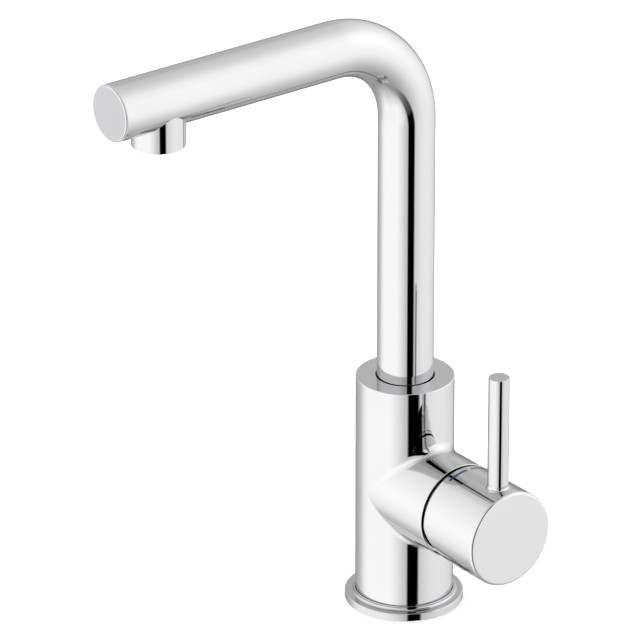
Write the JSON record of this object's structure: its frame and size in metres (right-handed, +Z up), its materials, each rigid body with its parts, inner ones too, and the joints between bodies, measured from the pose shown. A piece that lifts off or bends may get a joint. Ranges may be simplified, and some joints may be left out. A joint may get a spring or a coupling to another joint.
{
  "type": "basin mixer tap",
  "caption": "Tall basin mixer tap: upright round body, side-mounted lever cartridge with a pin lever, and an L-shaped tubular spout that swivels and ends in a short aerator outlet.",
  "frame": {"origin": "centre of the base ring's underside, on the body axis, at the deck face", "axes": "+Z up along the body, the spout points to -Y, the handle axis points to +X"},
  "size_m": [0.1135, 0.2053, 0.3187],
  "materials": {
    "blue_enamel": "gloss",
    "brass": "satin",
    "ceramic": "polished",
    "chrome": "polished",
    "grey_plastic": "satin",
    "red_enamel": "gloss",
    "rubber": "matte",
    "steel": "satin",
    "white_plastic": "satin"
  },
  "bodies": {
    "body": {"body_casting": "chrome", "base_ring": "chrome", "base_seal": "rubber", "cartridge_base": "grey_plastic", "port_seals": "rubber", "disc_seals": "rubber", "fixed_disc": "ceramic", "cartridge_housing": "white_plastic", "cartridge_nut": "brass", "cartridge_cover": "chrome", "spout_glide_ring": "white_plastic", "spout_stop_screw": "steel"},
    "temperature_carrier": {"spindle_carrier": "grey_plastic", "temperature_stop_ring": "white_plastic", "pivot_pin": "steel"},
    "disc_slider": {"moving_disc": "ceramic", "disc_driver": "grey_plastic"},
    "handle": {"lever_spindle": "brass", "handle_cap": "chrome", "lever_pin": "chrome", "handle_grub_screw": "steel", "cold_mark": "blue_enamel", "hot_mark": "red_enamel"},
    "spout": {"spout_tube": "chrome", "spout_foot": "brass", "spout_o_rings": "rubber", "spout_end_cap": "chrome", "outlet_socket": "chrome", "aerator_housing": "grey_plastic", "aerator_screen": "white_plastic", "aerator_core": "grey_plastic", "aerator_seal": "rubber"}
  },
  "joints": [
    {"name": "spout_swivel", "type": "hinge", "parent": "body", "child": "spout", "pos_m": [0, 0, 0.12165], "axis": [0, 0, 1], "range_deg": [-60, 60]},
    {"name": "temperature_turn", "type": "hinge", "parent": "body", "child": "temperature_carrier", "pos_m": [0.04, 0, 0.064], "axis": [1, 0, 0], "range_deg": [-45, 45]},
    {"name": "handle_tilt", "type": "hinge", "parent": "temperature_carrier", "child": "handle", "pos_m": [0.04, 0, 0.064], "axis": [0, 1, 0], "range_deg": [0, 20]},
    {"name": "disc_slide", "type": "slide", "parent": "temperature_carrier", "child": "disc_slider", "axis": [0, 0, 1], "range_m": [0, 0.0039]}
  ],
  "couplings": [
    {"joint": "disc_slide", "follows": "handle_tilt", "m_per_rad": 0.0109}
  ]
}
